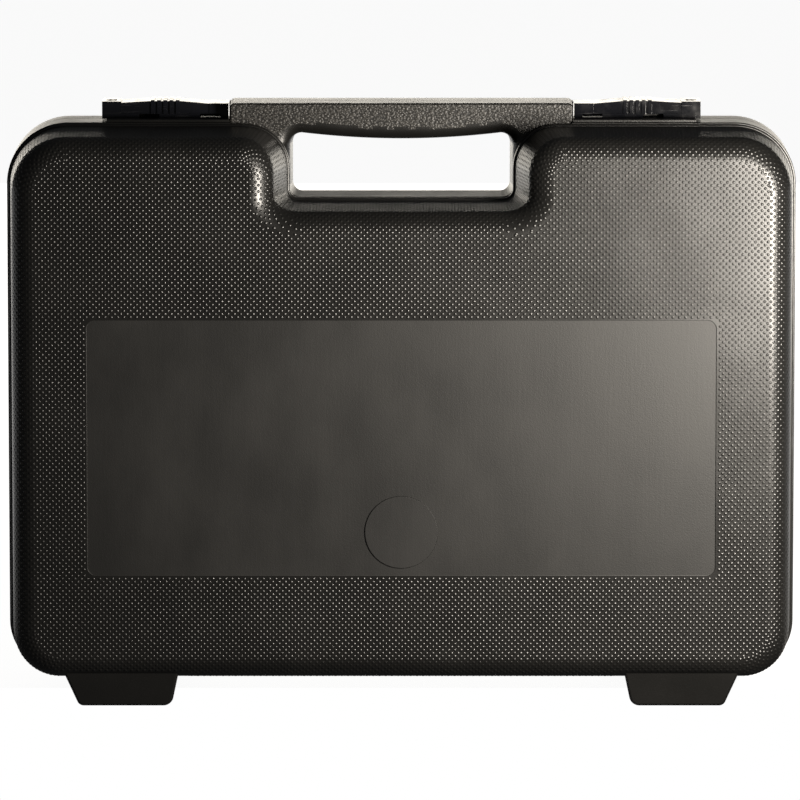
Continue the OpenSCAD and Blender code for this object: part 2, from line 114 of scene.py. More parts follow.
FOOT_X = (pin_low.x + pin_high.x) / 2
FOOT_OUTER = (0.0288, 0.0238)           # reach outwards at the flange and on the floor
FOOT_INNER = (0.0268, 0.0244)
FOOT_SETBACK = 0.004
FOOT_LEAN = 0.0034
FOOT_GAP = 0.006
FOOT_CHAMFER = 0.003
FOOT_FLOOR_R = {True: 0.0022, False: 0.0042}    # at the outer and the inner end of its floor
FOOT_FRONT_R = 0.0016
HINGE_Z = (pin_low.z + pin_high.z) / 2
KNUCKLE_R = 0.0048
PIN_R = (pin_high.z - pin_low.z) / 2
PIN_CLEARANCE = 0.00005
PIN_CHAMFER = 0.0004
WEB_LOW = 0.003
KNUCKLES = {-1: [(0.0, 0.018)], 1: [(-0.0154, 0.012), (0.0154, 0.012)]}   # middle and length

TONGUE = (0.0008, 0.0022)               # how far inside the outline it lies
TONGUE_H = 0.0012
GROOVE_GAP = 0.00035

LATCH_LEN = latch_high.x - latch_low.x
LATCH_HALF_Y = 0.009
LATCH_LOW = latch_low.z - FLANGE_TOP
LATCH_OUTER_H = 0.0098
LATCH_INNER_H = 0.0088
LATCH_GRIP_H = 0.010
LATCH_WALL = 0.002
LATCH_ROOF = 0.007                      # height of the channel inside
LATCH_TRAVEL = 0.012
BLOCK_LEN = 0.010
RIB_COUNT = 5
RIB_PITCH = 0.00325
RIB_W = 0.0019
RIB_H = 0.0006
END_WALL = 0.0025
STRIP_Y = 0.0192                        # front of the strip before a latch
STRIP_H = 0.0014
PAD_H = 0.0005                          # of the low pads that the latches run on
PAD_EDGE_R = 0.0003
RAIL = (latch_low.x + 0.0149, latch_high.x - 0.0032)
RAIL_UNDER = 0.0029
RAIL_H = 0.0066
LUGS = (RAIL[0] + 0.002, RAIL[1] - 0.014)
LUG_LEN = 0.009
LUG_Y = (-0.0066, -0.0006)
RAIL_Y = (0.0006, 0.0036, 0.0066)       # the rail's inner face, its outer face and its head's
SUNK = 0.001                            # how far pads, rails and lugs go down into the flange
WINDOW_GAP = 0.0008                     # around a lug in its window
WINDOW_H = 0.0033
MARK = (0.0032, 0.0003)                 # length and half the width of an arrow's bar
MARK_PITCH = 0.0026
MARK_FROM_END = 0.0022

FOAM_INSET = WALL + 0.0004
FLOOR_FOAM_Y = (0.049, 0.061)
LOWER_FOAM_Y = (0.024, 0.049)
UPPER_FOAM_Y = (0.003, 0.024)
LID_FOAM_Y = (-0.031, -0.061)           # the face between the peaks, and the back
PEAK_Y = -0.0095
PEAK_PITCH = 0.025
POCKET_Z = (0.0354, 0.1314)             # of the power supply's and the cable's pockets
SUPPLY_X = (-0.174, -0.014)
SUPPLY_R = 0.008
CABLE_X = (0.014, 0.174)
CABLE_R = 0.024
MICROPHONE_X = (-0.178, -0.014)
MICROPHONE_Z = (0.1574, 0.2194)
MICROPHONE_R = 0.014
TAIL_X = 0.048                          # the end of the microphone's connector
TAIL_Z = (0.1684, 0.2084)
TAIL_R = 0.008
MOUNT_X = (0.074, 0.158)
MOUNT_Z = (0.1554, 0.2334)
MOUNT_R = 0.008
LAYER_STEP = 0.003                      # by which the lower layer's microphone pocket is smaller
SCOOPS = ((-0.127, 0.1574), (-0.127, 0.2194), (-0.094, 0.1314))
SCOOP_R = 0.013
CUT_R = 0.0008                          # of the foam's cut edges
SHEET = (0.44, 0.31)                    # the egg-crate sheet before it is cut to its outline

DOT_PITCH = 0.001633                    # half the spacing along a row
DOT_R = 0.00092
DOT_H = 0.00036
DOT_SINK = 0.00006
DOT_ON_WALL = 0.45                      # the share of its height that a dot keeps on a wall
DOT_SIDES = 8
DOT_MARGIN = 0.0022                     # clear of the bead
DOTS_IN_PIECE = 6400
FLAT = 0.01                             # the largest angle between two faces that are one flat face


# -------------------- modelling tools
def only(piece):
    """Makes piece the one selected, active object."""
    bpy.ops.object.select_all(action="DESELECT")
    piece.select_set(True)
    bpy.context.view_layer.objects.active = piece


def settled(name):
    """Names the active object and puts its place in its mesh."""
    piece = bpy.context.object
    piece.name = piece.data.name = name
    bpy.ops.object.transform_apply(location=True, rotation=True, scale=True)
    return piece


def block(name, x, y, z):
    """A box between the low and high values of x, y and z."""
    spans = [sorted(s) for s in (x, y, z)]
    bpy.ops.mesh.primitive_cube_add(size=1, location=[(a + b) / 2 for a, b in spans],
                                    scale=[b - a for a, b in spans])
    return settled(name)


def rod(name, r, x, y, z, sides=48, axis="x"):
    """A cylinder along x or y; the axis's own value is a pair of ends."""
    ends = x if axis == "x" else y
    middle = sum(ends) / 2
    place = (middle, y, z) if axis == "x" else (x, middle, z)
    turn = (0, math.pi / 2, 0) if axis == "x" else (math.pi / 2, 0, 0)
    bpy.ops.mesh.primitive_cylinder_add(vertices=sides, radius=r, depth=abs(ends[1] - ends[0]),
                                        location=place, rotation=turn)
    return settled(name)


def pick_edges(piece, wanted):
    """Selects the edges whose two ends satisfy wanted(a, b), but no seam within a flat face."""
    bpy.ops.mesh.select_mode(type="EDGE")
    bpy.ops.mesh.select_all(action="DESELECT")
    mesh = bmesh.from_edit_mesh(piece.data)
    for edge in mesh.edges:
        a, b = (v.co for v in edge.verts)
        edge.select_set(edge.calc_face_angle(1) > FLAT and bool(wanted(a, b)))
    bmesh.update_edit_mesh(piece.data)


def round_edges(piece, wanted, width, segments):
    """Rounds the edges whose two ends satisfy wanted(a, b)."""
    only(piece)
    bpy.ops.object.mode_set(mode="EDIT")
    pick_edges(piece, wanted)
    bpy.ops.mesh.bevel(offset=width, segments=segments, affect="EDGES", clamp_overlap=False,
                       loop_slide=False)
    bpy.ops.object.mode_set(mode="OBJECT")


def near(value, target, by=2e-5):
    return abs(value - target) < by


def along_y(x=None, z=None):
    """A test for edges along Y that lie at a height z and at x, left or right."""
    def wanted(a, b):
        return (not near(a.y, b.y) and near(abs(a.x), abs(b.x)) and near(a.z, b.z)
                and (x is None or near(abs(a.x), x)) and (z is None or near(a.z, z)))
    return wanted


def at_y(y):
    """A test for edges that lie in the plane at y."""
    return lambda a, b: near(a.y, y) and near(b.y, y)


def combine(piece, other, operation):
    """Joins other to piece or cuts it away, and removes other."""
    only(piece)
    change = piece.modifiers.new(operation, "BOOLEAN")
    change.operation = operation
    change.solver = "MANIFOLD"
    change.object = other
    bpy.ops.object.modifier_apply(modifier=change.name)
    bpy.data.objects.remove(other)
    return piece


def cut(piece, *others):
    for other in others:
        combine(piece, other, "DIFFERENCE")
    return piece


def fuse(piece, *others):
    for other in others:
        combine(piece, other, "UNION")
    return piece


def tidy(piece, angle=28):
    """Merges doubles, turns the faces outwards and shades the mesh smooth up to the angle."""
    only(piece)
    bpy.ops.object.mode_set(mode="EDIT")
    bpy.ops.mesh.select_all(action="SELECT")
    bpy.ops.mesh.remove_doubles(threshold=2e-6)
    bpy.ops.mesh.dissolve_limited(angle_limit=math.radians(0.06))
    bpy.ops.mesh.normals_make_consistent(inside=False)
    bpy.ops.object.mode_set(mode="OBJECT")
    bpy.ops.object.shade_smooth_by_angle(angle=math.radians(angle))
    weigh = piece.modifiers.new("weighted", "WEIGHTED_NORMAL")
    weigh.keep_sharp = True
    bpy.ops.object.modifier_apply(modifier=weigh.name)
    return piece


# -------------------- the two mouldings
def bulge(name, side, inset, near_y, far_y, face_r):
    """A solid with the bulge's outline from one depth to another; past the flange it narrows."""
    half, top, low = BULGE_HALF - inset, BULGE_TOP - inset, BULGE_LOW + inset
    notch_half, notch_low = RECESS_HALF + inset, RECESS_LOW - inset
    foot_y = FLANGE_Y[side]
    start_y = min(near_y, foot_y - 0.005)
    end_y = min(far_y, foot_y)
    body = block(name, (-half, half), (side * start_y, side * end_y), (low, top))
    depths = (side * (start_y - BEYOND), side * (end_y + BEYOND))
    cut(body, block("notch", (-notch_half, notch_half), depths, (notch_low, top + BEYOND)))
    round_edges(body, along_y(half, top), TOP_R - STEP - inset, 14)
    round_edges(body, along_y(half, low), BOTTOM_R - STEP - inset, 14)
    round_edges(body, along_y(notch_half, top), SHOULDER_R - inset, 12)
    round_edges(body, along_y(notch_half, notch_low), OPENING_R + inset, 8)
    if far_y > foot_y:
        narrowed(body, side, foot_y, far_y, inset)
    if near_y > start_y:
        trimmed(body, side * near_y, side)
    if face_r:
        round_edges(body, at_y(side * far_y), face_r, 9)
    return body


def narrowed(body, side, foot_y, far_y, inset):
    """Draws a body's end out to its full depth, narrower by the draft and by the recess's lean."""
    share = (far_y - foot_y) / (FACE_Y[side] - foot_y)
    only(body)
    bpy.ops.object.mode_set(mode="EDIT")
    bpy.ops.mesh.select_mode(type="FACE")
    bpy.ops.mesh.select_all(action="DESELECT")
    mesh = bmesh.from_edit_mesh(body.data)
    for face in mesh.faces:
        face.select_set(all(near(v.co.y, side * foot_y) for v in face.verts))
    bmesh.update_edit_mesh(body.data)
    bpy.ops.mesh.inset(thickness=DRAFT[side] * share, depth=far_y - foot_y)
    bpy.ops.object.mode_set(mode="OBJECT")
    for vertex in body.data.vertices:
        if near(vertex.co.y, side * far_y, 1e-4):
            vertex.co.y = side * far_y
            moved = lean(abs(vertex.co.x), inset + DRAFT[side] * share) * share
            vertex.co.x += math.copysign(moved, vertex.co.x)


def lean(x, inset):
    """How far the recess's side lies further out at the face; fades below and past the shoulder."""
    from_bottom = (x - RECESS_HALF + OPENING_R) / (OPENING_R + inset)
    to_end = (LEAN_END - x) / (LEAN_END - RECESS_HALF - inset)
    return LEAN * np.clip(np.minimum(from_bottom, to_end), 0, 1)


def trimmed(body, y, side):
    """Cuts off what lies nearer to the parting plane than y."""
    only(body)
    bpy.ops.object.mode_set(mode="EDIT")
    bpy.ops.mesh.select_all(action="SELECT")
    bpy.ops.mesh.bisect(plane_co=(0, y, 0), plane_no=(0, side, 0), clear_inner=True, use_fill=True)
    bpy.ops.object.mode_set(mode="OBJECT")


def flange(side):
    """The plate around the bulge, open where the handle stands."""
    face = side * FLANGE_Y[side]
    plate = block("flange", (-HALF_W, HALF_W), (side * RIM, face), (FLANGE_LOW, FLANGE_TOP))
    round_edges(plate, along_y(HALF_W, FLANGE_TOP), TOP_R, 20)
    round_edges(plate, along_y(HALF_W, FLANGE_LOW), BOTTOM_R, 20)
    round_edges(plate, at_y(face), FLANGE_R[0], 3)
    round_edges(plate, at_y(side * RIM), FLANGE_R[1], 2)
    half = HANDLE_HALF - 0.0006
    return cut(plate, block("gap", (-half, half), (-side * BEYOND, face + side * BEYOND),
                            (RECESS_LOW - 0.001, FLANGE_TOP + BEYOND)))


def opening(side):
    """What is cut out of one half for the fingers; the grip swells down into it."""
    deep = 2 * HANDLE_Y[side]
    hole = block("opening", (-OPENING_HALF, OPENING_HALF), (0, side * deep),
                 (OPENING_LOW, OPENING_TOP))
    round_edges(hole, along_y(OPENING_HALF), OPENING_R, 8)
    span = OPENING_HALF - OPENING_R
    swell_r = (span ** 2 + GRIP_SAG ** 2) / (2 * GRIP_SAG)
    cut(hole, rod("swell", swell_r, 0, (-2 * deep, 2 * deep), OPENING_TOP - GRIP_SAG + swell_r,
                  720, "y"))
    for vertex in hole.data.vertices:
        inwards = 1 - abs(vertex.co.y) / HANDLE_Y[side]
        vertex.co.x *= 1 - OPENING_DRAFT[0] / OPENING_HALF * inwards
        below = (OPENING_TOP - vertex.co.z) / (OPENING_TOP - OPENING_LOW)
        vertex.co.z += OPENING_DRAFT[1] * inwards * below
        vertex.co.y -= side * 0.001 * near(vertex.co.y, 0)
    only(hole)
    bpy.ops.object.mode_set(mode="EDIT")
    bpy.ops.mesh.select_all(action="SELECT")
    bpy.ops.mesh.remove_doubles(threshold=OPENING_MERGE)
    bpy.ops.object.mode_set(mode="OBJECT")
    return hole


def handle(side):
    """One half of the handle, rounded under the grip."""
    face = side * HANDLE_Y[side]
    bar = block("handle", (-HANDLE_HALF, HANDLE_HALF), (side * RIM, face),
                (RECESS_LOW - HANDLE_FOOT, HANDLE_TOP))
    round_edges(bar, along_y(HANDLE_HALF, HANDLE_TOP), HANDLE_TOP_R, 5)
    cut(bar, opening(side))
    round_edges(bar, lambda a, b: near(a.y, face) and near(b.y, face)
                and max(abs(a.x), abs(b.x)) < OPENING_HALF + 0.001
                and max(a.z, b.z) > OPENING_LOW + OPENING_R + 0.001
                and max(a.z, b.z) < OPENING_TOP + 0.001, GRIP_R, 7)
    round_edges(bar, lambda a, b: near(a.y, face) and near(b.y, face)
                and (min(a.z, b.z) > HANDLE_TOP - 0.004
                     or min(abs(a.x), abs(b.x)) > HANDLE_HALF - 0.001), HANDLE_EDGE_R[side], 4)
    return bar


def foot(side, x):
    """The half of a foot on one moulding; its outer end slopes more than its inner one."""
    up_to = BULGE_LOW + FACE_R * 0.9
    far = side * (FACE_Y[side] - FOOT_SETBACK)
    body = block("foot", (x - 0.02, x + 0.02), (side * FOOT_GAP, far), (0, up_to))
    for vertex in body.data.vertices:
        outwards = vertex.co.x * x > x * x
        at_flange, at_floor = FOOT_OUTER if outwards else FOOT_INNER
        reach = at_floor + (at_flange - at_floor) * vertex.co.z / FLANGE_LOW
        vertex.co.x = x + math.copysign(reach, vertex.co.x - x)
    for outwards, radius in FOOT_FLOOR_R.items():
        round_edges(body, lambda a, b: near(a.z, 0) and near(b.z, 0) and not near(a.y, b.y)
                    and (a.x * x > x * x) == outwards, radius, 6)
    round_edges(body, lambda a, b: near(a.y, far) and near(b.y, far)
                and min(a.z, b.z) < up_to - 0.001, FOOT_FRONT_R, 4)
    for vertex in body.data.vertices:
        if abs(vertex.co.y) > FOOT_GAP + 0.01:
            vertex.co.y -= side * FOOT_LEAN * (1 - vertex.co.z / up_to)
    round_edges(body, lambda a, b: near(a.y, side * FOOT_GAP) and near(b.y, side * FOOT_GAP)
                and max(a.z, b.z) < 0.0002, FOOT_CHAMFER, 1)
    for vertex in body.data.vertices:
        if near(vertex.co.y, side * FOOT_GAP) and vertex.co.z < FOOT_CHAMFER:
            vertex.co.y += side * (FOOT_CHAMFER - vertex.co.z)
    return body


def hinge_ears(side, x):
    """Knuckles with their webs in the gap of a foot, bored for the pin."""
    ears = []
    for middle, length in KNUCKLES[side]:
        ends = (x + middle - length / 2, x + middle + length / 2)
        ear = rod("ear", KNUCKLE_R, ends, 0, HINGE_Z)
        fuse(ear, block("web", ends, (0, side * (FOOT_GAP + 0.002)),
                        (WEB_LOW, HINGE_Z + KNUCKLE_R)))
        cut(ear, rod("bore", PIN_R + PIN_CLEARANCE, (ends[0] - BEYOND, ends[1] + BEYOND), 0,
                     HINGE_Z, 32))
        ears.append(ear)
    return ears


def rim_ring(side, gap, y_from, y_to):
    """A ring along the rim, for the tongue or, with a gap around it, for its groove."""
    ring = bulge("ring", side, TONGUE[0] - gap, y_from, y_to, 0)
    return cut(ring, bulge("inside", side, TONGUE[1] + gap, y_from - 0.001, y_to + 0.001, 0))


def latch_rails():
    """Hooked rails on the base, which the latches run on."""
    rails = []
    for turn in (-1, 1):
        ends = (turn * RAIL[0], turn * RAIL[1])
        rail = block("rail", ends, RAIL_Y[:2], (FLANGE_TOP - SUNK, FLANGE_TOP + RAIL_H))
        fuse(rail, block("head", ends, (RAIL_Y[0], RAIL_Y[2]),
                         (FLANGE_TOP + RAIL_UNDER, FLANGE_TOP + RAIL_H)))
        rails.append(rail)
    return rails


def catch_lugs():
    """Lugs on the lid that the latches hold back."""
    return [block("lug", (turn * start, turn * (start + LUG_LEN)), LUG_Y,
                  (FLANGE_TOP - SUNK, FLANGE_TOP + RAIL_UNDER))
            for turn in (-1, 1) for start in LUGS]


def seat_pads(side):
    """Pads that the latches run on; each has a strip before it on the lid, a stop on the base."""
    pads = []
    for turn in (-1, 1):
        ends = (turn * (latch_low.x + 0.0017), turn * (latch_high.x - 0.0027))
        pads.append(low_pad(ends, (side * RIM, side * 0.012), PAD_H))
        if side < 0:
            strip_y = (-LATCH_HALF_Y - 0.0004, -STRIP_Y)
            pads.append(low_pad((turn * HANDLE_HALF, ends[1]), strip_y, STRIP_H))
        else:
            stop_x = (turn * (HANDLE_HALF - 0.001), turn * (latch_low.x - 0.0003))
            pads.append(low_pad(stop_x, (0.0006, 0.0095), LATCH_INNER_H))
    return pads


def low_pad(x, y, height):
    """A pad on the flange with its upper edges eased."""
    top = FLANGE_TOP + height
    pad = block("pad", x, y, (FLANGE_TOP - SUNK, top))
    round_edges(pad, lambda a, b: near(a.z, top) and near(b.z, top), PAD_EDGE_R, 2)
    return pad


def half_shell(name, side):
    """One whole moulding: bulge, flange, handle, feet, hinge ears and latch pads."""
    face, step = FACE_Y[side], FLANGE_Y[side]
    shell = bulge(name, side, 0, RIM, face, FACE_R)
    bead = bulge("bead", side, -BEAD, step - 0.002, step + BEAD_DEPTH, 0)
    round_edges(bead, at_y(side * (step + BEAD_DEPTH)), BEAD_R, 4)
    fuse(shell, bead, flange(side), handle(side))
    for x in (-FOOT_X, FOOT_X):
        fuse(shell, foot(side, x))
    cut(shell, bulge("cavity", side, WALL, -BEYOND, face - WALL, FACE_R - WALL))
    for x in (-FOOT_X, FOOT_X):
        fuse(shell, *hinge_ears(side, x))
    fuse(shell, *seat_pads(side))
    return shell


def front_panel(shell):
    """Sinks the plain panel into the lid's face, around its round pad."""
    face = -FACE_Y[-1]
    sink = block("sink", (-PANEL_HALF.x, PANEL_HALF.x), (face - BEYOND, face + PANEL_SINK),
                 (PANEL_Z - PANEL_HALF.y, PANEL_Z + PANEL_HALF.y))
    round_edges(sink, along_y(PANEL_HALF.x), PANEL_R, 6)
    round_edges(sink, at_y(face + PANEL_SINK), PANEL_EDGE_R, 2)
    cut(shell, sink)
    pad = rod("pad", PAD_R, 0, (face + PANEL_SINK - PAD_RISE, face + 0.002), PAD_Z, 96, "y")
    round_edges(pad, at_y(face + PANEL_SINK - PAD_RISE), PANEL_EDGE_R, 3)
    return fuse(shell, pad)


def lid_moulding():
    shell = front_panel(half_shell("lid_moulding", -1))
    fuse(shell, *catch_lugs())
    return cut(shell, rim_ring(-1, GROOVE_GAP, -0.001, TONGUE_H + GROOVE_GAP))


def base_moulding():
    shell = half_shell("base_moulding", 1)
    return fuse(shell, rim_ring(1, 0, -TONGUE_H, 0.001), *latch_rails())


# -------------------- the grain of dots
def outline_arcs():
    """Corners of the bulge's outline, anticlockwise: centre, radius (minus in a hollow), angles."""
    top, low = TOP_R - STEP, BOTTOM_R - STEP
    right = [(BULGE_HALF - top, BULGE_TOP - top, top, 0, 90),
             (RECESS_HALF + SHOULDER_R, BULGE_TOP - SHOULDER_R, SHOULDER_R, 90, 180),
             (RECESS_HALF - OPENING_R, RECESS_LOW + OPENING_R, -OPENING_R, 0, -90)]
    left = [(-x, z, r, 180 - end, 180 - start) for x, z, r, start, end in reversed(right)]
    left[0] = left[0][:3] + (-90, -180)
    return right + left + [(-BULGE_HALF + low, BULGE_LOW + low, low, 180, 270),
                           (BULGE_HALF - low, BULGE_LOW + low, low, 270, 360)]


def arc_point(arc, share, inset):
    """A point of a corner, inset from the outline, and the outward direction there."""
    x, z, r, start, end = arc
    angle = math.radians(start + (end - start) * share)
    way = np.array([math.cos(angle), math.sin(angle)])
    radius = r - inset if r > 0 else inset - r
    return np.array([x, z]) + radius * way, way if r > 0 else -way


def is_inside(points, loop):
    """Which points lie inside a closed loop."""
    inside = np.zeros(len(points), bool)
    for (x1, z1), (x2, z2) in zip(loop, np.roll(loop, -1, axis=0)):
        crosses = (points[:, 1] > z1) != (points[:, 1] > z2)
        at = x1 + (points[:, 1] - z1) * (x2 - x1) / (z2 - z1 if z2 != z1 else 1)
        inside ^= crosses & (points[:, 0] < at)
    return inside


def dot_lattice():
    """The slanted lattice over the whole front, in X and Z."""
    count = int(HALF_W / DOT_PITCH) + 2
    i, j = np.meshgrid(np.arange(-count, count + 1), np.arange(-count, count + 1))
    keep = (i + j) % 2 == 0
    return np.stack([i[keep], j[keep]], axis=1) * DOT_PITCH + [0, PANEL_Z]


def wrapped(edge, way, t, side):
    """Places at a distance t from the flat face, around the rounding and down the sloping wall."""
    turn = np.minimum(t / FACE_R, math.pi / 2)
    down = np.maximum(t - FACE_R * math.pi / 2, 0)
    slope = DRAFT[side] / (FACE_Y[side] - FLANGE_Y[side])
    flat = edge + way * (FACE_R * np.sin(turn) + slope * down)[:, None]
    depth = FACE_Y[side] - FACE_R * (1 - np.cos(turn)) - down
    return np.stack([flat[:, 0], side * depth, flat[:, 1]], axis=1)


def leaning(places, side):
    """Moves places at the recess's sides outwards, as its walls are."""
    share = (np.abs(places[:, 1]) - FLANGE_Y[side]) / (FACE_Y[side] - FLANGE_Y[side])
    moved = lean(np.abs(places[:, 0]), DRAFT[side]) * share
    near_recess = places[:, 2] > RECESS_LOW - SHELL_INSET[side] - 0.001
    places[:, 0] += np.copysign(np.where(near_recess, moved, 0), places[:, 0])
    return places


def dot_places(side):
    """Roughly where the dots of one moulding stand: on its face, its rounding and its walls."""
    arcs = outline_arcs()
    lattice = dot_lattice()
    inset = SHELL_INSET[side]
    loop = np.array([arc_point(arc, share, inset)[0]
                     for arc in arcs for share in np.linspace(0, 1, 13)])
    depths = np.full(len(loop), side * FACE_Y[side])
    at_face = leaning(np.stack([loop[:, 0], depths, loop[:, 1]], axis=1), side)
    flat = lattice[is_inside(lattice, at_face[:, [0, 2]])]
    if side < 0:
        past = np.abs(flat - [0, PANEL_Z]) - PANEL_HALF
        flat = flat[(past > DOT_R * 0.5).any(axis=1)]
    found = [wrapped(flat, np.zeros((len(flat), 2)), np.zeros(len(flat)), side)]
    wall_depth = FACE_Y[side] - FACE_R - FLANGE_Y[side] - BEAD_DEPTH
    longest = FACE_R * math.pi / 2 + wall_depth - DOT_MARGIN
    for arc, following in zip(arcs, arcs[1:] + arcs[:1]):
        (start, way), (end, _) = arc_point(arc, 1, inset), arc_point(following, 0, inset)
        along = (end - start) / np.linalg.norm(end - start)
        s, t = (lattice - start) @ along, (lattice - start) @ way
        keep = (s >= 0) & (s < np.linalg.norm(end - start)) & (t > 0) & (t < longest)
        edge = start + along * s[keep][:, None]
        found.append(leaning(wrapped(edge, np.tile(way, (len(edge), 1)), t[keep], side), side))
        columns = max(4, round(abs(arc[2] - inset / 2) * math.pi / 4 / DOT_PITCH))
        corner = [(arc_point(arc, (m + 0.25 + 0.5 * (row % 2)) / columns, inset),
                   (row + 0.5) * DOT_PITCH)
                  for row in range(int(longest / DOT_PITCH)) for m in range(columns)]
        edge, way, t = (np.array(v) for v in zip(*[(p, w, t) for (p, w), t in corner]))
        found.append(leaning(wrapped(edge, way, t, side), side))
    places = np.concatenate(found)
    over_foot = (np.abs(np.abs(places[:, 0]) - FOOT_X) < FOOT_OUTER[0] + 0.004) \
        & (places[:, 2] < BULGE_LOW + inset) \
        & (side * places[:, 1] < FACE_Y[side] - FOOT_SETBACK + 0.001)
    return places[~over_foot]


def one_dot():
    """A low dome with few faces, standing on z = 0: its corners and its faces."""
    bpy.ops.mesh.primitive_circle_add(vertices=DOT_SIDES, radius=DOT_R, fill_type="NGON")
    dome = settled("dome")
    bpy.ops.object.mode_set(mode="EDIT")
    bpy.ops.mesh.select_all(action="SELECT")
    bpy.ops.mesh.extrude_region_move(TRANSFORM_OT_translate={"value": (0, 0, DOT_H * 0.72)})
    bpy.ops.transform.resize(value=(0.52, 0.52, 1), center_override=(0, 0, 0))
    bpy.ops.mesh.poke(offset=DOT_H * 0.28)
    bpy.ops.mesh.select_all(action="SELECT")
    bpy.ops.mesh.normals_make_consistent(inside=False)
    bpy.ops.object.mode_set(mode="OBJECT")
    corners = np.array([v.co[:] for v in dome.data.vertices])
    faces = [tuple(p.vertices) for p in dome.data.polygons]
    bpy.data.objects.remove(dome)
    return corners, faces


def dot_pieces(name, side, shell):
    """Copies of one dot all over a moulding, set on its surface, in pieces that stay light."""
    corners, faces = one_dot()
    skin = BVHTree.FromPolygons([v.co for v in shell.data.vertices],
                                [p.vertices for p in shell.data.polygons])
    nearest = [skin.find_nearest(Vector(place)) for place in dot_places(side)]
    places = np.array([hit[0][:] for hit in nearest])
    normals = np.array([hit[1][:] for hit in nearest])
    across = np.cross(normals, [0.0, 0.0, 1.0])
    across[np.linalg.norm(across, axis=1) < 1e-6] = [1.0, 0.0, 0.0]
    across /= np.linalg.norm(across, axis=1)[:, None]
    up = np.cross(normals, across)
    height = DOT_ON_WALL + (1 - DOT_ON_WALL) * np.clip(side * normals[:, 1] / 0.7, 0, 1)
    axes = np.stack([across, up, normals * height[:, None]], axis=1)
    turned = np.einsum("dk,nkj->ndj", corners, axes)
    points = places[:, None, :] + turned - normals[:, None, :] * DOT_SINK
    pieces = []
    for start in range(0, len(points), DOTS_IN_PIECE):
        part = points[start:start + DOTS_IN_PIECE]
        shifted = [tuple(i + k * len(corners) for i in face)
                   for k in range(len(part)) for face in faces]
        mesh = bpy.data.meshes.new(f"{name}_{len(pieces) + 1}")
        mesh.from_pydata(part.reshape(-1, 3), [], shifted)
        piece = bpy.data.objects.new(mesh.name, mesh)
        bpy.context.scene.collection.objects.link(piece)
        only(piece)
        bpy.ops.object.shade_smooth_by_angle(angle=math.radians(62))
        pieces.append(piece)
    return pieces


# -------------------- latches and hinge pins
def latch_body():
    """The right-hand latch from outside: end blocks, ramps and the thumb grip."""
    front, back = -LATCH_HALF_Y, LATCH_HALF_Y
    low, x0 = LATCH_LOW, BLOCK_LEN
    x1 = LATCH_LEN - BLOCK_LEN
    grip = RIB_COUNT * RIB_PITCH / 2
    middle = block("middle", (x0 - 0.0005, x1 + 0.0005), (front + 0.0005, back),
                   (low, LATCH_GRIP_H))
    only(middle)
    bpy.ops.object.mode_set(mode="EDIT")
    for x in (LATCH_LEN / 2 - grip, LATCH_LEN / 2 + grip):
        bpy.ops.mesh.select_all(action="SELECT")
        bpy.ops.mesh.bisect(plane_co=(x, 0, 0), plane_no=(1, 0, 0))
    bpy.ops.object.mode_set(mode="OBJECT")
    for vertex in middle.data.vertices:
        if near(vertex.co.z, LATCH_GRIP_H) and vertex.co.x < x0:
            vertex.co.z = LATCH_INNER_H - 0.0002
        elif near(vertex.co.z, LATCH_GRIP_H) and vertex.co.x > x1:
            vertex.co.z = LATCH_OUTER_H - 0.0007
    parts = [block("inner_end", (0, x0), (front + 0.0001, back), (low, LATCH_INNER_H)),
             block("outer_end", (x1, LATCH_LEN), (front, back), (low, LATCH_OUTER_H)),
             block("band", (x0 - 0.001, x1 + 0.001), (front + 0.0001, back), (low, low + 0.0028))]
    for k in range(RIB_COUNT):
        x = LATCH_LEN / 2 + (k - (RIB_COUNT - 1) / 2) * RIB_PITCH
        parts.append(block("rib", (x - RIB_W / 2, x + RIB_W / 2), (front - RIB_H / 2, back),
                           (low + 0.0024, LATCH_GRIP_H + RIB_H)))
    return fuse(middle, *parts)


def latch(turn):
    """A whole latch, hollow underneath, with windows that let the lid's lugs out."""
    body = latch_body()
    only(body)
    soften = body.modifiers.new("soften", "BEVEL")
    soften.width, soften.segments, soften.limit_method = 0.00032, 3, "ANGLE"
    soften.angle_limit = math.radians(30)
    bpy.ops.object.modifier_apply(modifier=soften.name)
    inner = LATCH_HALF_Y - LATCH_WALL
    cut(body, block("channel", (END_WALL, LATCH_LEN - END_WALL), (-inner, inner), (0, LATCH_ROOF)))
    for lug in LUGS:
        start = lug - latch_low.x - LATCH_TRAVEL - WINDOW_GAP
        cut(body, block("window", (start, start + LUG_LEN + 2 * WINDOW_GAP),
                        (-2 * LATCH_HALF_Y, -0.001), (0, WINDOW_H)))
    inside = (END_WALL - 0.0002, LATCH_LEN - END_WALL + 0.0002)
    fuse(body,
         block("lip", inside, (inner - 0.003, inner + 0.0002), (LATCH_LOW, LATCH_LOW + 0.0018)),
         block("guide", inside, (-0.0018, 0.0002), (0.0035, LATCH_ROOF + 0.0002)),
         *arrow_marks())
    for vertex in body.data.vertices:
        vertex.co.x = turn * (vertex.co.x + latch_low.x)
        vertex.co.z += FLANGE_TOP
    body.name = body.data.name = "sliding_latch_" + ("right" if turn > 0 else "left")
    return tidy(body)


def arrow_marks():
    """Two small raised chevrons on the outer end that show which way the latch opens."""
    marks = []
    for k in range(2):
        for way in (-1, 1):
            tip = LATCH_LEN - MARK_FROM_END - MARK_PITCH * k
            bar = block("bar", (-MARK[0], 0), (-MARK[1], MARK[1]),
                        (LATCH_OUTER_H - 0.0003, LATCH_OUTER_H + 0.0002))
            only(bar)
            bpy.ops.object.mode_set(mode="EDIT")
            bpy.ops.mesh.select_all(action="SELECT")
            bpy.ops.transform.rotate(value=way * math.radians(40), orient_axis="Z",
                                     center_override=(0, 0, 0))
            bpy.ops.transform.translate(value=(tip, 0, 0))
            bpy.ops.object.mode_set(mode="OBJECT")
            marks.append(bar)
    return marks


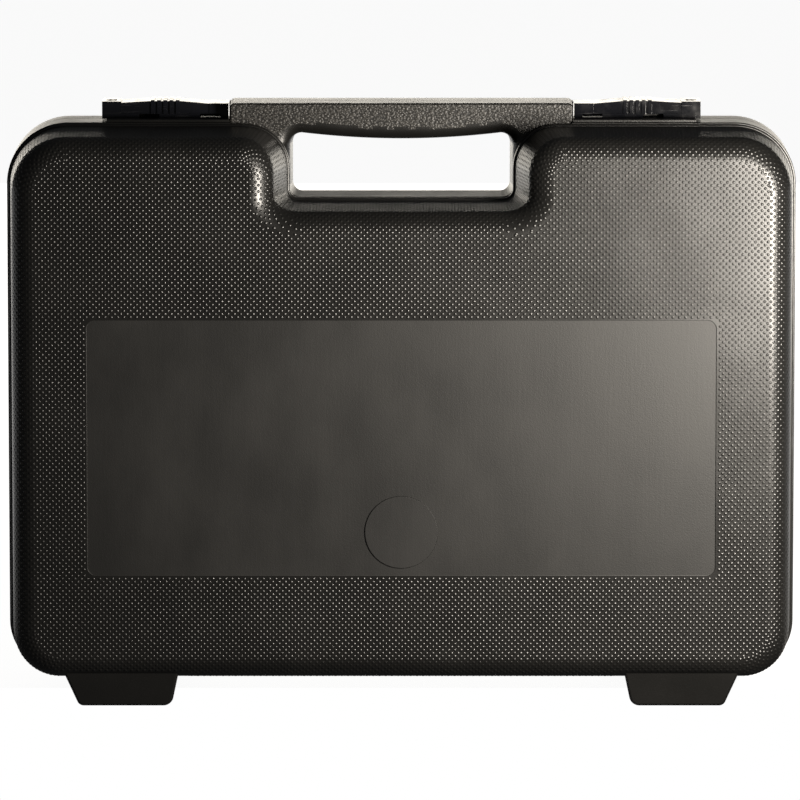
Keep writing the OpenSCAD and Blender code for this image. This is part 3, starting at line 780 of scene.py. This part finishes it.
def hinge_pin(turn):
    """A steel pin with chamfered ends."""
    ends = sorted((turn * pin_low.x, turn * pin_high.x))
    word = "right" if turn > 0 else "left"
    pin = rod("hinge_pin_" + word + "_steel", PIN_R, ends, 0, HINGE_Z, 32)
    for end in ends:
        round_edges(pin, lambda a, b: near(a.x, end) and near(b.x, end), PIN_CHAMFER, 2)
    return tidy(pin)


# -------------------- foam
def rounded_block(x, z, y, r):
    """A block with rounded corners along Y, for cutting a pocket."""
    body = block("pocket", x, y, z)
    round_edges(body, lambda a, b: not near(a.y, b.y) and near(a.x, b.x) and near(a.z, b.z), r, 6)
    return body


def past(y):
    """The depths of a layer, with what a cut reaches beyond them."""
    return y[0] - BEYOND, y[1] + BEYOND


def foam_slab(name, side, y, face_r=0):
    """A layer of foam with the outline of the space inside the moulding."""
    return bulge(name, side, FOAM_INSET, side * y[0], side * y[1], face_r)


def row_pockets(y):
    """Pockets for the power supply and the coiled cable."""
    return [rounded_block(SUPPLY_X, POCKET_Z, y, SUPPLY_R),
            rounded_block(CABLE_X, POCKET_Z, y, CABLE_R)]


def microphone_pocket(y, step):
    """Pocket for the microphone, with the narrower end for its connector."""
    start = MICROPHONE_X[0] + step
    body = rounded_block((start, MICROPHONE_X[1] - step),
                         (MICROPHONE_Z[0] + step, MICROPHONE_Z[1] - step), y, MICROPHONE_R)
    tail = rounded_block((start, TAIL_X - step), (TAIL_Z[0] + step, TAIL_Z[1] - step), y, TAIL_R)
    return fuse(body, tail)


def soft_rim(slab, y):
    """Rounds the cut edges of the pockets a little on the layer's face."""
    round_edges(slab, at_y(y), CUT_R, 3)
    return slab


def floor_foam():
    return foam_slab("floor_pad", 1, FLOOR_FOAM_Y, FACE_R - FOAM_INSET)


def lower_foam():
    slab = foam_slab("lower_foam_layer", 1, LOWER_FOAM_Y)
    through = past(LOWER_FOAM_Y)
    cut(slab, microphone_pocket(through, LAYER_STEP), *row_pockets(through))
    return soft_rim(slab, LOWER_FOAM_Y[0])


def upper_foam():
    slab = foam_slab("upper_foam_layer", 1, UPPER_FOAM_Y)
    through = past(UPPER_FOAM_Y)
    cut(slab, microphone_pocket(through, 0), *row_pockets(through),
        rounded_block(MOUNT_X, MOUNT_Z, through, MOUNT_R))
    for x, z in SCOOPS:
        cut(slab, rod("scoop", SCOOP_R, x, through, z, 40, "y"))
    return soft_rim(slab, UPPER_FOAM_Y[0])


def egg_foam():
    """The lid's foam: a sheet with rows of soft peaks, cut to the outline."""
    bpy.ops.mesh.primitive_grid_add(x_subdivisions=176, y_subdivisions=124, size=1)
    sheet = settled("egg_crate_foam")
    back = LID_FOAM_Y[1]
    middle_z = (BULGE_LOW + BULGE_TOP) / 2
    for vertex in sheet.data.vertices:
        x, z = vertex.co.x * SHEET[0], vertex.co.y * SHEET[1] + middle_z
        wave = math.cos(math.pi * x / PEAK_PITCH) * math.cos(math.pi * (z - middle_z) / PEAK_PITCH)
        peak = (0.5 + 0.5 * math.sin(math.pi / 2 * wave)) ** 1.15
        from_edge = min(BULGE_HALF - abs(x), z - BULGE_LOW, BULGE_TOP - z,
                        math.hypot(max(abs(x) - RECESS_HALF, 0), max(RECESS_LOW - z, 0)))
        share = min(max((from_edge - 0.010) / 0.012, 0), 1)
        rise = (PEAK_Y - LID_FOAM_Y[0]) * peak * share * share * (3 - 2 * share)
        vertex.co = (x, LID_FOAM_Y[0] + rise, z)
    only(sheet)
    bpy.ops.object.mode_set(mode="EDIT")
    bpy.ops.mesh.select_all(action="SELECT")
    bpy.ops.mesh.extrude_region_move(TRANSFORM_OT_translate={"value": (0, back - 0.02, 0)})
    bpy.ops.object.mode_set(mode="OBJECT")
    for vertex in sheet.data.vertices:
        if vertex.select:
            vertex.co.y = back - 0.01
    only(sheet)
    bpy.ops.object.mode_set(mode="EDIT")
    bpy.ops.mesh.select_all(action="SELECT")
    bpy.ops.mesh.normals_make_consistent(inside=False)
    bpy.ops.object.mode_set(mode="OBJECT")
    mould = bulge("mould", -1, FOAM_INSET, 0.002, -back, FACE_R - FOAM_INSET)
    return combine(sheet, mould, "INTERSECT")


# -------------------- materials
class Value:
    """A socket of a material; arithmetic on it adds Math nodes."""

    def __init__(self, finish, socket):
        self.finish, self.socket = finish, socket

    def __add__(self, other):
        return self.finish.maths("ADD", self, other)

    def __sub__(self, other):
        return self.finish.maths("SUBTRACT", self, other)

    def __rsub__(self, other):
        return self.finish.maths("SUBTRACT", other, self)

    def __mul__(self, other):
        return self.finish.maths("MULTIPLY", self, other)

    def __truediv__(self, other):
        return self.finish.maths("DIVIDE", self, other)

    def __rtruediv__(self, other):
        return self.finish.maths("DIVIDE", other, self)

    def __pow__(self, other):
        return self.finish.maths("POWER", self, other)

    __radd__, __rmul__ = __add__, __mul__


class Finish:
    """A material in the making, on Object coordinates."""

    def __init__(self, name, **fixed):
        self.material = bpy.data.materials.new(name)
        self.material.use_nodes = True
        self.tree = self.material.node_tree
        self.shader = self.tree.nodes["Principled BSDF"]
        for socket, value in fixed.items():
            self.shader.inputs[socket.replace("_", " ")].default_value = value
        self.place = self.node("TexCoord", out="Object")

    def node(self, kind, settings=None, inputs=None, out=0):
        """Adds any node: its settings first, then the values or links of its sockets."""
        made = self.tree.nodes.new("ShaderNode" + kind)
        for key, value in (settings or {}).items():
            setattr(made, key, value)
        for key, value in (inputs or {}).items():
            self.plug(made.inputs[key], value)
        return Value(self, made.outputs[out])

    def plug(self, socket, value):
        if isinstance(value, Value):
            self.tree.links.new(value.socket, socket)
        else:
            socket.default_value = value

    def maths(self, operation, *values):
        return self.node("Math", {"operation": operation}, dict(enumerate(values)))

    def limited(self, value, low, high):
        """Runs from 0 at low to 1 at high."""
        return self.node("MapRange", {"clamp": True},
                         {"Value": value, "From Min": low, "From Max": high})

    def noise(self, per_mm, stretch=(1, 1, 1), detail=2.0):
        """Noise with a number of waves to the millimetre, which stretch draws out."""
        where = self.node("Mapping", {}, {"Vector": self.place, "Scale": stretch})
        return self.node("TexNoise", {},
                         {"Vector": where, "Scale": per_mm * 1000, "Detail": detail}, "Fac")

    def cells(self, per_mm, feature="F1", at=None):
        """Distances in a pattern of cells, with a number of cells to the millimetre."""
        return self.node("TexVoronoi", {"feature": feature},
                         {"Vector": at or self.place, "Scale": per_mm * 1000}, "Distance")

    def colours(self, share, first, second):
        """A mix of two colours."""
        made = self.tree.nodes.new("ShaderNodeMix")
        made.data_type = "RGBA"
        for name, value in (("Factor_Float", share), ("A_Color", first), ("B_Color", second)):
            socket = next(i for i in made.inputs if i.identifier == name)
            plain = isinstance(value, Value) or name == "Factor_Float"
            self.plug(socket, value if plain else (*value, 1))
        return Value(self, next(o for o in made.outputs if o.identifier == "Result_Color"))

    def relief(self, height, mm, under=None):
        """A bump of a height in millimetres."""
        inputs = {"Height": height, "Distance": mm / 1000, "Strength": 1.0}
        if under:
            inputs["Normal"] = under
        return self.node("Bump", {}, inputs)

    def finished(self, **looks):
        for socket, value in looks.items():
            self.plug(self.shader.inputs[socket.replace("_", " ")], value)
        return self.material


BLACK = (0.008, 0.0078, 0.0073)
BLACK_WORN = (0.019, 0.0182, 0.017)
PAD_BLACK = (0.004, 0.0038, 0.0035)
# Lighter grey: a painted highlight on the tops of the leather ridges, and the real colour of
# scratches on the handle's top.
PAINTED_HIGHLIGHT_AND_SCRATCH = (0.055, 0.052, 0.047)


def moulded_plastic():
    """Satin black polyethylene: a faint orange peel, slow waves and dusty patches."""
    made = Finish("moulded_plastic", IOR=1.58)
    patches = made.limited(made.noise(0.03, detail=4), 0.42, 0.72) * 0.35
    peel = made.noise(1.6, detail=2)
    waves = made.noise(0.02, detail=1)
    # The peel's crests are painted a little lighter, a faint painted highlight; the broad patches
    # are dust.
    colour = made.colours(patches * 0.6 + made.limited(peel, 0.5, 0.8) * 0.2, BLACK, BLACK_WORN)
    relief = made.relief(peel, 0.05, made.relief(waves, 0.9))
    rough = 0.30 + 0.09 * patches + 0.05 * peel
    return made.finished(Base_Color=colour, Roughness=rough, Normal=relief)


def panel_plastic(name="panel_plastic", base=BLACK, rough=0.42):
    """The plain panel: finer and flatter, with cloudy patches and faint upright streaks."""
    made = Finish(name, IOR=1.58)
    streaks = made.noise(0.7, (1, 1, 0.06), detail=3)
    clouds = made.noise(0.035, (1, 1, 0.6), detail=4)
    grain = made.noise(2.0, detail=3)
    specks = made.limited(made.noise(0.9, detail=1), 0.70, 0.76)
    colour = made.colours(made.limited(clouds, 0.35, 0.7) * 0.5 + specks * 0.4, base, BLACK_WORN)
    relief = made.relief(grain, 0.055, made.relief(streaks, 0.02))
    return made.finished(Base_Color=colour, Roughness=rough + 0.16 * clouds + 0.05 * grain,
                         Normal=relief)


def leather_plastic():
    """The handle's face: short slanting ridges like leather, with painted highlights on their tops.
    """
    made = Finish("leather_plastic", IOR=1.58)
    bend = made.node("TexNoise", {}, {"Vector": made.place, "Scale": 600.0, "Detail": 1.0}, "Color")
    bent = made.node("VectorMath", {"operation": "MULTIPLY_ADD"},
                     {0: bend, 1: (0.0010, 0.0010, 0.0010), 2: made.place})
    slanted = made.node("Mapping", {}, {"Vector": bent, "Rotation": (0, math.radians(35), 0),
                                        "Scale": (1.0, 1, 1.5)})
    ridges = made.limited(made.cells(0.80, "SMOOTH_F1", at=slanted), 0.14, 0.60)
    fine = made.noise(2.2, detail=2)
    # The ridges' raised tops get the lighter grey and the grooves between them black: painted
    # highlight and painted shade that follow the bump.
    colour = made.colours(ridges, PAINTED_HIGHLIGHT_AND_SCRATCH, BLACK)
    relief = made.relief(fine, 0.05, made.relief(1 - ridges, 0.20))
    return made.finished(Base_Color=colour, Roughness=0.40 + 0.10 * fine, Normal=relief)


def rubbed_plastic():
    """The top of the handle, rubbed along its length."""
    made = Finish("rubbed_plastic", IOR=1.58)
    scratches = made.noise(1.3, (0.03, 1, 1), detail=4)
    marks = made.limited(scratches, 0.45, 0.75)
    colour = made.colours(marks, BLACK_WORN, PAINTED_HIGHLIGHT_AND_SCRATCH)
    return made.finished(Base_Color=colour, Roughness=0.24 + 0.14 * marks,
                         Normal=made.relief(scratches, 0.03))


def latch_plastic():
    """Glossy black plastic with hairline scratches and fingermarks."""
    made = Finish("latch_plastic", IOR=1.5)
    hairs = made.limited(made.noise(1.1, (0.06, 1, 1), detail=3), 0.62, 0.7)
    smears = made.limited(made.noise(0.12, detail=3), 0.45, 0.7)
    colour = made.colours(hairs * 0.5, (0.0065, 0.007, 0.0095), (0.03, 0.03, 0.034))
    return made.finished(Base_Color=colour, Roughness=0.12 + 0.10 * smears + 0.12 * hairs,
                         Normal=made.relief(made.noise(0.09, detail=1), 0.12))


def turned_steel():
    """Plain steel with turning lines around it."""
    made = Finish("turned_steel", Metallic=1.0)
    rings = made.noise(4.0, (1, 0.02, 0.02), detail=2)
    colour = made.colours(rings, (0.45, 0.44, 0.43), (0.62, 0.61, 0.60))
    return made.finished(Base_Color=colour, Roughness=0.24 + 0.16 * rings,
                         Normal=made.relief(rings, 0.01))


def open_foam():
    """Dark open-celled foam, with the pits of its pores painted darker as painted shade."""
    made = Finish("open_foam", IOR=1.4)
    pores = made.limited(made.cells(1.1), 0.15, 0.75)
    fuzz = made.noise(0.5, detail=4)
    # Darker in the pits of the pores and lighter on their rims: painted shade in the hollows; the
    # fuzz adds a random tone.
    colour = made.colours(pores * 0.75 + 0.25 * fuzz, (0.012, 0.012, 0.013), (0.052, 0.052, 0.056))
    relief = made.relief(pores, 0.35, made.relief(fuzz, 0.4))
    return made.finished(Base_Color=colour, Roughness=0.86 + 0.12 * fuzz, Normal=relief)


def give(piece, *materials):
    """Gives a piece its materials; each after the first comes with a test for its faces."""
    piece.data.materials.clear()
    for number, entry in enumerate(materials):
        material, wanted = entry if isinstance(entry, tuple) else (entry, None)
        piece.data.materials.append(material)
        if wanted:
            for face in piece.data.polygons:
                if wanted(face.center, face.normal):
                    face.material_index = number


def on_panel(at, normal):
    return near(at.y, -FACE_Y[-1] + PANEL_SINK, 1e-4) and abs(at.x) < PANEL_HALF.x \
        and abs(at.z - PANEL_Z) < PANEL_HALF.y


def on_pad(at, normal):
    return near(at.y, -FACE_Y[-1] + PANEL_SINK - PAD_RISE, 1e-4) \
        and math.hypot(at.x, at.z - PAD_Z) < PAD_R


def on_handle(at, normal):
    on_face = near(at.y, -HANDLE_Y[-1], 1e-4) or near(at.y, HANDLE_Y[1], 1e-4)
    return abs(normal.y) > 0.9 and on_face and abs(at.x) < HANDLE_HALF and at.z > RECESS_LOW


def on_handle_top(at, normal):
    return normal.z > 0.9 and at.z > HANDLE_TOP - 0.0005


# -------------------- everything in its place
def placed(piece, body, slot, *nodes):
    """Hangs a piece on its body and lets it stand for its nodes."""
    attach(piece, body)
    if nodes:
        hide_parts(*nodes)
    return piece


plastic, leather, rubbed = moulded_plastic(), leather_plastic(), rubbed_plastic()
gloss, steel, foam_look = latch_plastic(), turned_steel(), open_foam()

lid = placed(tidy(lid_moulding()), "lid", "shell_plastic", "lid_shell")
give(lid, plastic, (panel_plastic(), on_panel),
     (panel_plastic("pad_plastic", PAD_BLACK, 0.50), on_pad),
     (leather, on_handle), (rubbed, on_handle_top))
base = placed(tidy(base_moulding()), "base", "shell_plastic", "base_shell")
give(base, plastic, (leather, on_handle), (rubbed, on_handle_top))
for name, side, body, shell in (("lid_dots", -1, "lid", lid), ("base_dots", 1, "base", base)):
    for piece in dot_pieces(name, side, shell):
        give(placed(piece, body, "shell_plastic"), plastic)
for word, turn in (("left", -1), ("right", 1)):
    give(placed(latch(turn), "latch_" + word, "latch_plastic", "latch_" + word), gloss)
    give(placed(hinge_pin(turn), "base", "pin_steel", "hinge_pin_" + word), steel)
foams = [placed(tidy(make(), 40), body, "foam", node)
         for make, body, node in ((floor_foam, "base", "foam_floor"),
                                  (lower_foam, "base", "foam_lower"),
                                  (upper_foam, "base", "foam_upper"),
                                  (egg_foam, "lid", "lid_foam"))]
for foam in foams:
    give(foam, foam_look)

# -------------------- floor, light and camera
def area_light(name, place, aim, size, watts, colour):
    """A soft light at a place, turned to the point that it lights."""
    bpy.ops.object.light_add(type="AREA", location=place)
    lamp = bpy.context.object
    lamp.name = lamp.data.name = name
    lamp.data.shape = "RECTANGLE"
    lamp.data.size, lamp.data.size_y = size
    lamp.data.energy = watts
    lamp.data.color = colour
    lamp.rotation_euler = (Vector(aim) - Vector(place)).to_track_quat("-Z", "Y").to_euler()


KEY_WATTS = 5.2
BACK_WATTS = 18.0
WORLD_LIGHT = 0.04                      # what the case gets of it; the camera sees it as white
area_light("key", (0.30, -0.40, 0.24), (0.14, -0.065, 0.19), (0.16, 0.16), KEY_WATTS,
           (1.0, 0.93, 0.83))
area_light("back", (0.0, 2.4, 0.36), (0.0, 0.0, 0.36), (3.2, 0.70), BACK_WATTS,
           (1.0, 0.94, 0.83))

world = bpy.data.worlds.new("studio")
bpy.context.scene.world = world
world.use_nodes = True
nodes, links = world.node_tree.nodes, world.node_tree.links
path = nodes.new("ShaderNodeLightPath")
mix = nodes.new("ShaderNodeMix")
mix.data_type = "FLOAT"
mix.inputs["A"].default_value = WORLD_LIGHT
mix.inputs["B"].default_value = 1.0
links.new(path.outputs["Is Camera Ray"], mix.inputs["Factor"])
links.new(mix.outputs["Result"], nodes["Background"].inputs["Strength"])
nodes["Background"].inputs["Color"].default_value = (1, 1, 1, 1)

FLOOR_SIZE = 7
FLOOR_FRONT = -0.004                    # its front edge, so that the lid can swing down
FLOOR_WHITE = 0.93
FLOOR_GLOSS = 0.6


def white_floor():
    """A pale floor that keeps the shadow; behind the case it also shows in gloss."""
    bpy.ops.mesh.primitive_plane_add(size=FLOOR_SIZE, location=(0, FLOOR_FRONT + FLOOR_SIZE / 2, 0))
    plane = settled("floor")
    cover = Finish("white_floor", Roughness=0.9)
    cover.shader.inputs["Emission Color"].default_value = (1, 1, 1, 1)
    cover.shader.inputs["Base Color"].default_value = (0.5, 0.5, 0.5, 1)
    behind = cover.limited(cover.node("SeparateXYZ", {}, {"Vector": cover.place}, "Y"), -0.02, 0.5)
    seen = cover.node("LightPath", out="Is Camera Ray") * FLOOR_WHITE
    mirrored = cover.node("LightPath", out="Is Glossy Ray") * behind * FLOOR_GLOSS
    cover.plug(cover.shader.inputs["Emission Strength"], seen + mirrored)
    plane.data.materials.append(cover.material)
    return plane


white_floor()

VIEW_DOWN = math.radians(8)
VIEW_FROM = 3.992
VIEW_AT = Vector((-0.0007, -0.021, 0.1561))
LENS = 343
towards = Vector((0, -math.cos(VIEW_DOWN), math.sin(VIEW_DOWN)))
bpy.ops.object.camera_add(location=VIEW_AT + VIEW_FROM * towards,
                          rotation=(math.pi / 2 - VIEW_DOWN, 0, 0))
camera = bpy.context.object
camera.data.lens = LENS
camera.data.sensor_width = 36
bpy.context.scene.camera = camera
bpy.context.scene.view_settings.view_transform = "Standard"
